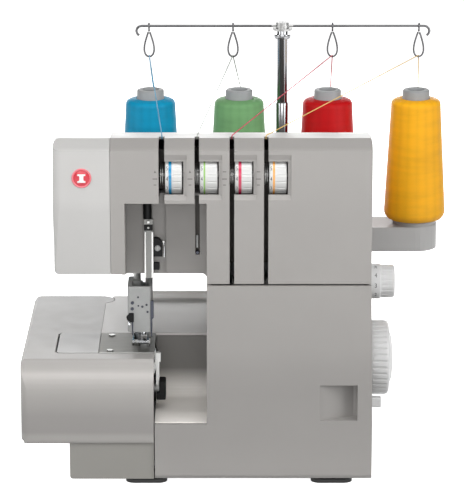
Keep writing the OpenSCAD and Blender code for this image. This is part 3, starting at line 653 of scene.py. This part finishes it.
def figures_round(name, texts, step, start, size, squeeze, x_mid, centre, radius, body, ink):
    """Figures printed round a dial whose axis is X, upright as they pass the front."""
    verts = []
    faces = []
    for i, text in enumerate(texts):
        points, polygons = lettering(text, size)
        base = len(verts)
        turn = math.radians(start + step * i)
        for u, v in points:
            a = turn + v / radius
            y = centre[1] - radius * MM * math.cos(a)
            z = centre[2] + radius * MM * math.sin(a)
            verts.append((x_mid + u * squeeze * MM, y, z))
        faces += [tuple(base + k for k in p) for p in polygons]
    return make(name, verts, faces, ink, body, smooth=0)


# ---- tension dials -------------------------------------------------------------------------

INK = plastic("print_black", srgb(34, 34, 36), rough=0.5, tone=0.08)
PRINT_GREY = plastic("print_grey", srgb(112, 110, 108), rough=0.55, tone=0.05)
BANDS = [
    glaze("band_blue", srgb(20, 140, 190)),
    glaze("band_green", srgb(150, 196, 110)),
    glaze("band_red", srgb(205, 45, 85)),
    glaze("band_orange", srgb(240, 170, 90)),
]
# Where each coloured band starts and ends, in millimetres from the dial's left face
BAND_FROM = (3.1, 3.4, 3.2, 3.3)
BAND_TO = (5.8, 5.0, 5.9, 5.2)
FIGURES = "0123456789"
FIGURE_STEP = 30
FIGURE_AT_FRONT = 4
FIGURE_SIZE = 5.4
FIGURE_SQUEEZE = 0.72
# Middle of the figures from the dial's left face, and their height over its rim, in millimetres
FIGURE_X = 1.85
FIGURE_LIFT = 0.06

for i in range(4):
    dial = f"tension_dial_{i + 1}"
    low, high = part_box(dial)
    centre = (low + high) / 2
    radius = (high.z - low.z) / 2 / MM
    left = Vector((low.x, centre.y, centre.z))
    profile = [
        (BAND_FROM[i], radius - 0.5),
        (BAND_TO[i], radius - 0.5),
        (BAND_TO[i], radius + 0.02),
        (BAND_TO[i] - 0.1, radius + 0.1),
        (BAND_FROM[i] + 0.1, radius + 0.1),
        (BAND_FROM[i], radius + 0.02),
    ]
    lathe(f"dial_band_{i + 1}", profile, left, (1, 0, 0), BANDS[i], dial)
    figures_round(
        f"dial_figures_{i + 1}", FIGURES, FIGURE_STEP, -FIGURE_STEP * FIGURE_AT_FRONT,
        FIGURE_SIZE, FIGURE_SQUEEZE, low.x + FIGURE_X * MM, centre, radius + FIGURE_LIFT, dial, INK,
    )

# ---- stitch length dial --------------------------------------------------------------------

STITCH_STEP = 34
STITCH_START = -68
STITCH_SIZE = 6.0
STITCH_SQUEEZE = 0.8
# Middle of the figures from the dial's right face, and their height over its rim, in millimetres
STITCH_X = 18.5
STITCH_LIFT = 0.05

low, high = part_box("stitch_length_dial")
STITCH_R = (high.z - low.z) / 2 / MM
stitch_centre = Vector((high.x, (low.y + high.y) / 2, (low.z + high.z) / 2))
figures_round(
    "stitch_figures", "1234R", STITCH_STEP, STITCH_START, STITCH_SIZE, STITCH_SQUEEZE,
    high.x - STITCH_X * MM, stitch_centre, STITCH_R + STITCH_LIFT, "stitch_length_dial", INK,
)

# ---- printed marks beside the slots --------------------------------------------------------

# Each slot's mark is a head over a wide and a short bar: an arrow at the first two, a bar at the others
MARK_X = (-68.7, -37.5, -6.7, 23.6)
MARK_Z = (294.3, 287.8, 282.3)
# The ink's front and back along Y
PRINT = (-0.06, 0.1)
for i, x in enumerate(MARK_X):
    if i < 2:
        head = [(x - 1.1, MARK_Z[0] - 1.0), (x + 1.1, MARK_Z[0] - 1.0), (x, MARK_Z[0] + 1.4)]
    else:
        head = oblong(x - 1.6, MARK_Z[0] - 0.3, x + 1.6, MARK_Z[0] + 0.5)
    slab(f"slot_mark_{i + 1}a", head, at, PRINT, PRINT_GREY, "machine")
    wide = rounded(x - 2.2, MARK_Z[1] - 0.45, x + 2.2, MARK_Z[1] + 0.45, 0.2)
    slab(f"slot_mark_{i + 1}b", wide, at, PRINT, PRINT_GREY, "machine")
    short = rounded(x - 1.3, MARK_Z[2] - 0.4, x + 1.3, MARK_Z[2] + 0.4, 0.2)
    slab(f"slot_mark_{i + 1}c", short, at, PRINT, PRINT_GREY, "machine")

# ---- badge ---------------------------------------------------------------------------------

RED = glaze("badge_red", srgb(208, 30, 52), rough=0.22)
RIM = glaze("badge_rim", srgb(236, 120, 130), rough=0.25)
WHITE = glaze("badge_white", srgb(245, 245, 245), rough=0.25)
BADGE_X = -134.4
BADGE_Z = 288.5
BADGE = at(BADGE_X, 0, BADGE_Z)
BADGE_R = 8.9
# The axis of round pieces that face the front
FORWARD = (0, -1, 0)
disc = [(-1.5, 0), (0.7, 0), (0.9, 6.4), (0.5, 7.2), (-1.5, 7.2)]
lathe("badge_disc", disc, BADGE, FORWARD, RED, "machine", smooth=50)
rim = [(-1.5, 7.2), (0.5, 7.2), (0.9, 7.6), (0.9, 8.4), (0.3, BADGE_R), (-1.5, BADGE_R)]
lathe("badge_rim", rim, BADGE, FORWARD, RIM, "machine", smooth=50)
# A thread reel: two flanges and a waist
reel = [(-3.6, 3.9), (-3.6, 2.5), (-2.0, 2.2), (-1.7, 0), (-2.0, -2.2), (-3.6, -2.5), (-3.6, -3.9)]
reel += [(-x, z) for x, z in reversed(reel)]
reel_outline = [(BADGE_X + x, BADGE_Z + z) for x, z in reel]
slab("badge_reel", reel_outline, at, (-1.25, -0.6), WHITE, "machine")

# ---- wound thread cones --------------------------------------------------------------------

# All lengths of the cones are in millimetres. The wound thread is widest at BASE_Z above the table,
# draws in below it over FOOT and tapers above it to its shoulder, where it rounds in to the core
BASE_R = 30.0
BASE_Z = 192.0
FOOT = 7.8
FOOT_IN = 3.6
TOP_R = 24.4
SHOULDER = 8
SHOULDER_IN = 10.5
# Inner radius of the wound thread at its lower and upper end
BORE_LOW_R = 19.9
BORE_TOP_R = 13.9
# Ridges of the winding
RIDGE = 2.2
RIDGE_DEPTH = 0.16
CONE_RINGS = 110
CONE_SIDES = 80


def cone_radius(z, top):
    """Radius of the wound thread at a height above the table."""
    shoulder = top - SHOULDER
    if z < BASE_Z:
        t = (BASE_Z - z) / FOOT
        return BASE_R - FOOT_IN * t ** 2.2
    if z <= shoulder:
        return BASE_R + (TOP_R - BASE_R) * (z - BASE_Z) / (shoulder - BASE_Z)
    t = (z - shoulder) / SHOULDER
    return TOP_R - SHOULDER_IN * (1 - math.sqrt(max(0.0, 1 - t ** 4)))


for colour in ("blue", "green", "red", "yellow"):
    node = f"cone_{colour}"
    low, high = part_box(node)
    cx, cy = (low.x + high.x) / 2, (low.y + high.y) / 2
    z0, z1 = low.z / MM, high.z / MM
    heights = [z0 + (z1 - z0) * k / CONE_RINGS for k in range(CONE_RINGS + 1)]
    profile = [(BORE_LOW_R, z0)]
    for z in heights:
        wave = RIDGE_DEPTH * math.sin(2 * math.pi * z / RIDGE) * (0.6 + 0.4 * math.sin(z * 0.37))
        profile.append((cone_radius(z, z1) - 0.1 + wave, z))
    profile += [(BORE_TOP_R, z1), (BORE_TOP_R - 0.1, z1 - 3)]
    verts = []
    uv = []
    length = [0.0]
    for a, b in zip(profile, profile[1:]):
        length.append(length[-1] + math.dist(a, b))
    for k in range(CONE_SIDES + 1):
        a = 2 * math.pi * k / CONE_SIDES + math.pi / 2
        for (r, z), s in zip(profile, length):
            verts.append((cx + r * MM * math.cos(a), cy + r * MM * math.sin(a), z * MM))
            uv.append((k / CONE_SIDES, s / length[-1]))
    n = len(profile)
    faces = []
    for k in range(CONE_SIDES):
        for i in range(n - 1):
            faces.append((k * n + i, (k + 1) * n + i, (k + 1) * n + i + 1, k * n + i + 1))
    wound = make(f"wound_{colour}", verts, faces, M[colour], "machine", smooth=70, uv=uv)
    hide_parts(node)

# ---- threads -------------------------------------------------------------------------------

# Colour, tint, and the drawing's x of the cone's axis, the eyelet and the slot
STRANDS = (
    ("blue", srgb(24, 140, 182), -79.7, -80.7, -63),
    ("green", srgb(150, 160, 148), 6.9, 1, -31.4),
    ("red", srgb(196, 40, 70), 93.5, 97.8, -0.1),
    ("yellow", srgb(226, 186, 104), 180.1, 181.8, 30.6),
)
# Radius of a thread, in metres
STRAND_R = 0.0005
# Radius of the thread's turn in its eyelet, and the eyelets' z and y in the drawing, in millimetres
LEAD_R = 1.4
EYE_Z = 345.5
EYE_Y = 270


def over_eyelet(x):
    """The thread's turn over the lower bend of its eyelet."""
    angles = [math.radians(t) for t in (22.5, 40, 58, 77, 96)]
    return [at(x, EYE_Y + LEAD_R * math.cos(t), EYE_Z + LEAD_R * math.sin(t)) for t in angles]


def corner(before, at_point, after, reach=0.004, n=6):
    """Points of a small round turn in place of a sharp corner."""
    a = at_point + (before - at_point).normalized() * reach
    b = at_point + (after - at_point).normalized() * reach
    out = []
    for i in range(n + 1):
        t = i / n
        out.append(a * (1 - t) ** 2 + at_point * 2 * t * (1 - t) + b * t ** 2)
    return out


for colour, tint, cone_x, eye_x, slot_x in STRANDS:
    start = at(cone_x + 3, EYE_Y + 17.6, 304.8)
    edge = at(slot_x, 29.4, 321)
    inside = at(slot_x, 30.4, 317.5)
    turn = over_eyelet(eye_x)
    path = [start, start.lerp(turn[0], 0.5)] + turn
    path += [turn[-1].lerp(edge, k / 8) for k in range(1, 8)]
    path += corner(turn[-1], edge, inside, 0.0015) + [inside]
    g = Graph(f"strand_{colour}")
    ply = g.noise(2600, 2, (1, 1, 0.4))
    g.set(
        Base_Color=g.ramp(ply, [(0.35, shade(tint, 0.85)), (0.65, shade(tint, 1.05))]),
        Roughness=g.span(ply, 0.45, 0.65),
        Normal=g.bump(ply, 0.4, 0.0002),
        Sheen_Weight=0.2,
    )
    piece = tube(f"strand_{colour}", path, STRAND_R, g.material, None, sides=8)
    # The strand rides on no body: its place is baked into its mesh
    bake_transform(piece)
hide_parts("threads")

# ---- needle recess -------------------------------------------------------------------------

# Thread guide block with its screw, on the rear wall of the recess, right of the guard
block = [(-71.7, 203.6), (-63.8, 203.6), (-63.8, 214.8)]
block += ring(-69.6, 215.4, 5.8, 0, 90, 8) + [(-71.7, 221.2)]
slab("guide_block", block, at, (46.4, 51.9), M["black"], "machine", soft=0.4)
head = [(0, 0), (0.9, 0), (0.9, 2.2), (0.5, 2.8), (0, 2.8)]
lathe("guide_block_screw", head, at(-68.0, 46.6, 211.6), FORWARD, M["satin"], "machine")
dot = [(0, 0), (1.2, 0), (1.2, 0.7), (0.8, 1.2), (0, 1.2)]
lathe("guide_block_dot", dot, at(-62.4, 46.2, 218.0), FORWARD, M["knife"], "machine")
slab("guide_block_low", rounded(-71.7, 190.4, -66.4, 197.4, 0.8), at, (48.4, 51.9), M["black"],
     "machine", soft=0.3)
wire = [at(-62.4, 45.6, 217.4), at(-61.9, 44.8, 214.0), at(-61.9, 44.6, 208.0), at(-62.0, 45.2, 203.6)]
tube("guide_block_wire", wire, 0.0004, M["chrome"], "machine")

# Spring guide in the second slot, held by a dark screw
guide = [(-32.6, 212.4), (-30.7, 212.4), (-30.7, 223.4), (-31.2, 224.4), (-32.2, 224.4), (-32.6, 223.6)]
slab("slot_guide", guide, at, (44.6, 46.4), M["satin"], "machine", soft=0.3)
head = [(-1.2, 0), (1.6, 0), (1.6, 1.2), (1.0, 1.9), (-1.2, 1.9)]
lathe("slot_guide_screw", head, at(-31.5, 45.6, 208.0), FORWARD, M["blued"], "machine")

# ---- presser spring ------------------------------------------------------------------------

SPRING_TURNS = 7
SPRING_STEPS = 24
WIRE_R = 0.8

low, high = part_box("presser_spring")
spring_mid = (low + high) / 2
coil_r = (high.x - low.x) / 2 - WIRE_R * MM
coil_low = low.z + WIRE_R * MM
coil_rise = high.z - low.z - 2 * WIRE_R * MM
coil = []
for k in range(SPRING_TURNS * SPRING_STEPS + 1):
    a = 2 * math.pi * k / SPRING_STEPS
    z = coil_low + coil_rise * k / (SPRING_TURNS * SPRING_STEPS)
    coil.append(Vector((spring_mid.x + coil_r * math.cos(a), spring_mid.y + coil_r * math.sin(a), z)))
spring = tube("spring_coil", coil, WIRE_R * MM, M["steel_x"], "machine")
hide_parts("presser_spring")
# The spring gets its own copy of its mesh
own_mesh(spring)

# ---- details of the needle and foot block --------------------------------------------------

low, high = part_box("presser_bracket")
FRONT = (low.y - DRAWING.y) / MM


def screw(name, x, z, y, r, body, material, slot_turn=30.0):
    """A cheese-head screw seen from the front, with its driver slot cut into the head."""
    c, s = math.cos(math.radians(slot_turn)), math.sin(math.radians(slot_turn))
    # A whole disc, and on it two halves that leave the slot between them
    discs = [(ring(x, z, r, 0, 360, 28), y - r * 0.35, y + r * 0.5)]
    for start, end in ((8, 172), (188, 352)):
        half = ring(0, 0, r, start, end, 14)
        turned = [(x + c * u - s * v, z + s * u + c * v) for u, v in half]
        discs.append((turned, y - r * 0.7, y - r * 0.3))
    verts = []
    faces = []
    for points, near, far in discs:
        first = len(verts)
        n = len(points)
        verts += [at(u, near, v) for u, v in points] + [at(u, far, v) for u, v in points]
        faces.append(tuple(range(first, first + n)))
        faces.append(tuple(range(first + 2 * n - 1, first + n - 1, -1)))
        for k in range(n):
            faces.append((first + k, first + (k + 1) % n, first + n + (k + 1) % n, first + n + k))
    return make(name, verts, faces, material, body)


screw("foot_block_screw_1", -91.6, 159.1, FRONT, 1.5, "presser_bar", M["blued"])
screw("foot_block_screw_2", -91.7, 153.4, FRONT, 1.5, "presser_bar", M["blued"], 80)
# Rivets on the front of the foot block: tag, x, z, radius
RIVETS = (
    ("a", -86.4, 164.3, 0.9),
    ("b", -86.1, 156.2, 0.8),
    ("c", -78.6, 157.1, 1.0),
    ("d", -77.7, 150.4, 1.0),
    ("e", -82.5, 155.4, 1.1),
)
for tag, x, z, r in RIVETS:
    rivet = [(-0.4, 0), (0.3, 0), (0.5, r * 0.6), (0.3, r), (-0.4, r)]
    lathe(f"foot_block_rivet_{tag}", rivet, at(x, FRONT, z), FORWARD, M["blued"],
          "presser_bar", turns=20)
clip = [(-97.2, 146.2), (-94.4, 149.4), (-90.4, 149.4), (-90.4, 141.0), (-94.0, 141.0), (-96.6, 143.2)]
slab("foot_clip", clip, at, (FRONT - 2.4, FRONT + 0.6), M["black"], "presser_bar", soft=0.4)
leg = [(-92.4, 141.2), (-91.0, 141.2), (-91.0, 128.4), (-92.0, 127.6)]
slab("foot_clip_leg", leg, at, (FRONT - 1.2, FRONT + 0.6), M["blued"], "presser_bar", soft=0.15)
pin = [(-1.0, 0), (3.4, 0), (3.4, 0.9), (3.0, 1.25), (-1.0, 1.25)]
lathe("foot_clip_pin", pin, at(-94.4, FRONT, 139.6), FORWARD, M["chrome"], "presser_bar")
side = [(-75.0, 160.8), (-72.6, 161.4), (-72.0, 160.4), (-72.0, 145.0), (-73.6, 143.0)]
side += [(-73.6, 127.0), (-75.0, 127.0)]
slab("foot_side_bar", side, at, (FRONT - 0.6, FRONT + 3.0), M["blued"], "presser_bar", soft=0.2)

# Lips and clamp of the needle bar guard, and the black sleeve above it
lips = (("guard_lip_left", -80.1, -78.5), ("guard_lip_right", -73.7, -71.8))
# The lips stand for the guard's folded edges, in a paler steel than the guard: painted highlights on them.
for name, x0, x1 in lips:
    lip = rounded(x0, 183.6, x1, 227.2, 0.3)
    slab(name, lip, at, (45.2, 46.6), M["knife"], "machine", soft=0.3)
band = rounded(-80.2, 228.6, -72.4, 234.2, 0.5)
slab("guard_band", band, at, (44.3, 45.6), M["black"], "machine", soft=0.3)
head = [(0, 0), (1.5, 0), (1.5, 1.1), (0.9, 1.7), (0, 1.7)]
lathe("guard_screw", head, at(-76.3, 45.1, 236.8), FORWARD, M["knife"], "machine")
head = [(0, 0), (0.8, 0), (0.8, 0.9), (0, 0.9)]
lathe("guard_band_screw", head, at(-76.3, 44.5, 231.4), FORWARD, M["screw"], "machine")
sleeve = [(239.4, 3.42), (239.4, 3.9), (262, 3.9), (262, 3.42)]
lathe("guard_sleeve", sleeve, at(-77.2, 48, 0), (0, 0, 1), M["black"], "machine")

# A strip of pale steel along the front of the needle plate: a painted highlight on its edge
plate_low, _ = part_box("needle_plate")
plate_front = (plate_low.y - DRAWING.y) / MM
slab("plate_edge_highlight", oblong(-121.4, 117.8, -71.8, 118.35), at, (plate_front + 0.1, plate_front + 1.9),
     M["knife"], "machine")

# Dark stop under the finger gap of the cloth plate
slab("finger_gap_stop", oblong(-164.5, 111.6, -156.6, 115.2), at, (25.5, 89),
     M["black"], "cloth_plate")

# Black grip over the knob of the upper knife
grip = [(-69.6, 70.6), (-61.6, 70.6), (-61.0, 71.4), (-61.0, 87.6), (-61.6, 88.4)]
grip += [(-67.0, 88.4), (-67.0, 78), (-69.6, 78)]
slab("knife_grip", grip, at, (32.4, 47.6), M["black"], "upper_knife", soft=0.6)

# ---- edges ---------------------------------------------------------------------------------

for name, (_, radius) in LOOKS.items():
    soften(nodes[name], radius)

# ---- floor ---------------------------------------------------------------------------------

FLOOR_GLOW = 0.95
# The floor lies this far under the feet, so that the two faces don't share a plane
FLOOR_DROP = 0.0002

floor_mesh = bpy.data.meshes.new("floor")
h = FLOOR_HALF
floor_mesh.from_pydata([(-h, -h, 0), (h, -h, 0), (h, h, 0), (-h, h, 0)], [], [(0, 1, 2, 3)])
g = Graph("floor_white")
paper = g.noise(3, 2)
g.set(Base_Color=g.ramp(paper, [(0.3, (0.93, 0.93, 0.93, 1)), (0.7, (0.95, 0.95, 0.95, 1))]), Roughness=0.9)
g.set(Specular_IOR_Level=0.1, Emission_Color=(1, 1, 1, 1), Emission_Strength=FLOOR_GLOW)
floor_mesh.materials.append(g.material)
floor = bpy.data.objects.new("floor", floor_mesh)
floor.location.z = -FLOOR_DROP
floor.visible_diffuse = False
bpy.context.scene.collection.objects.link(floor)
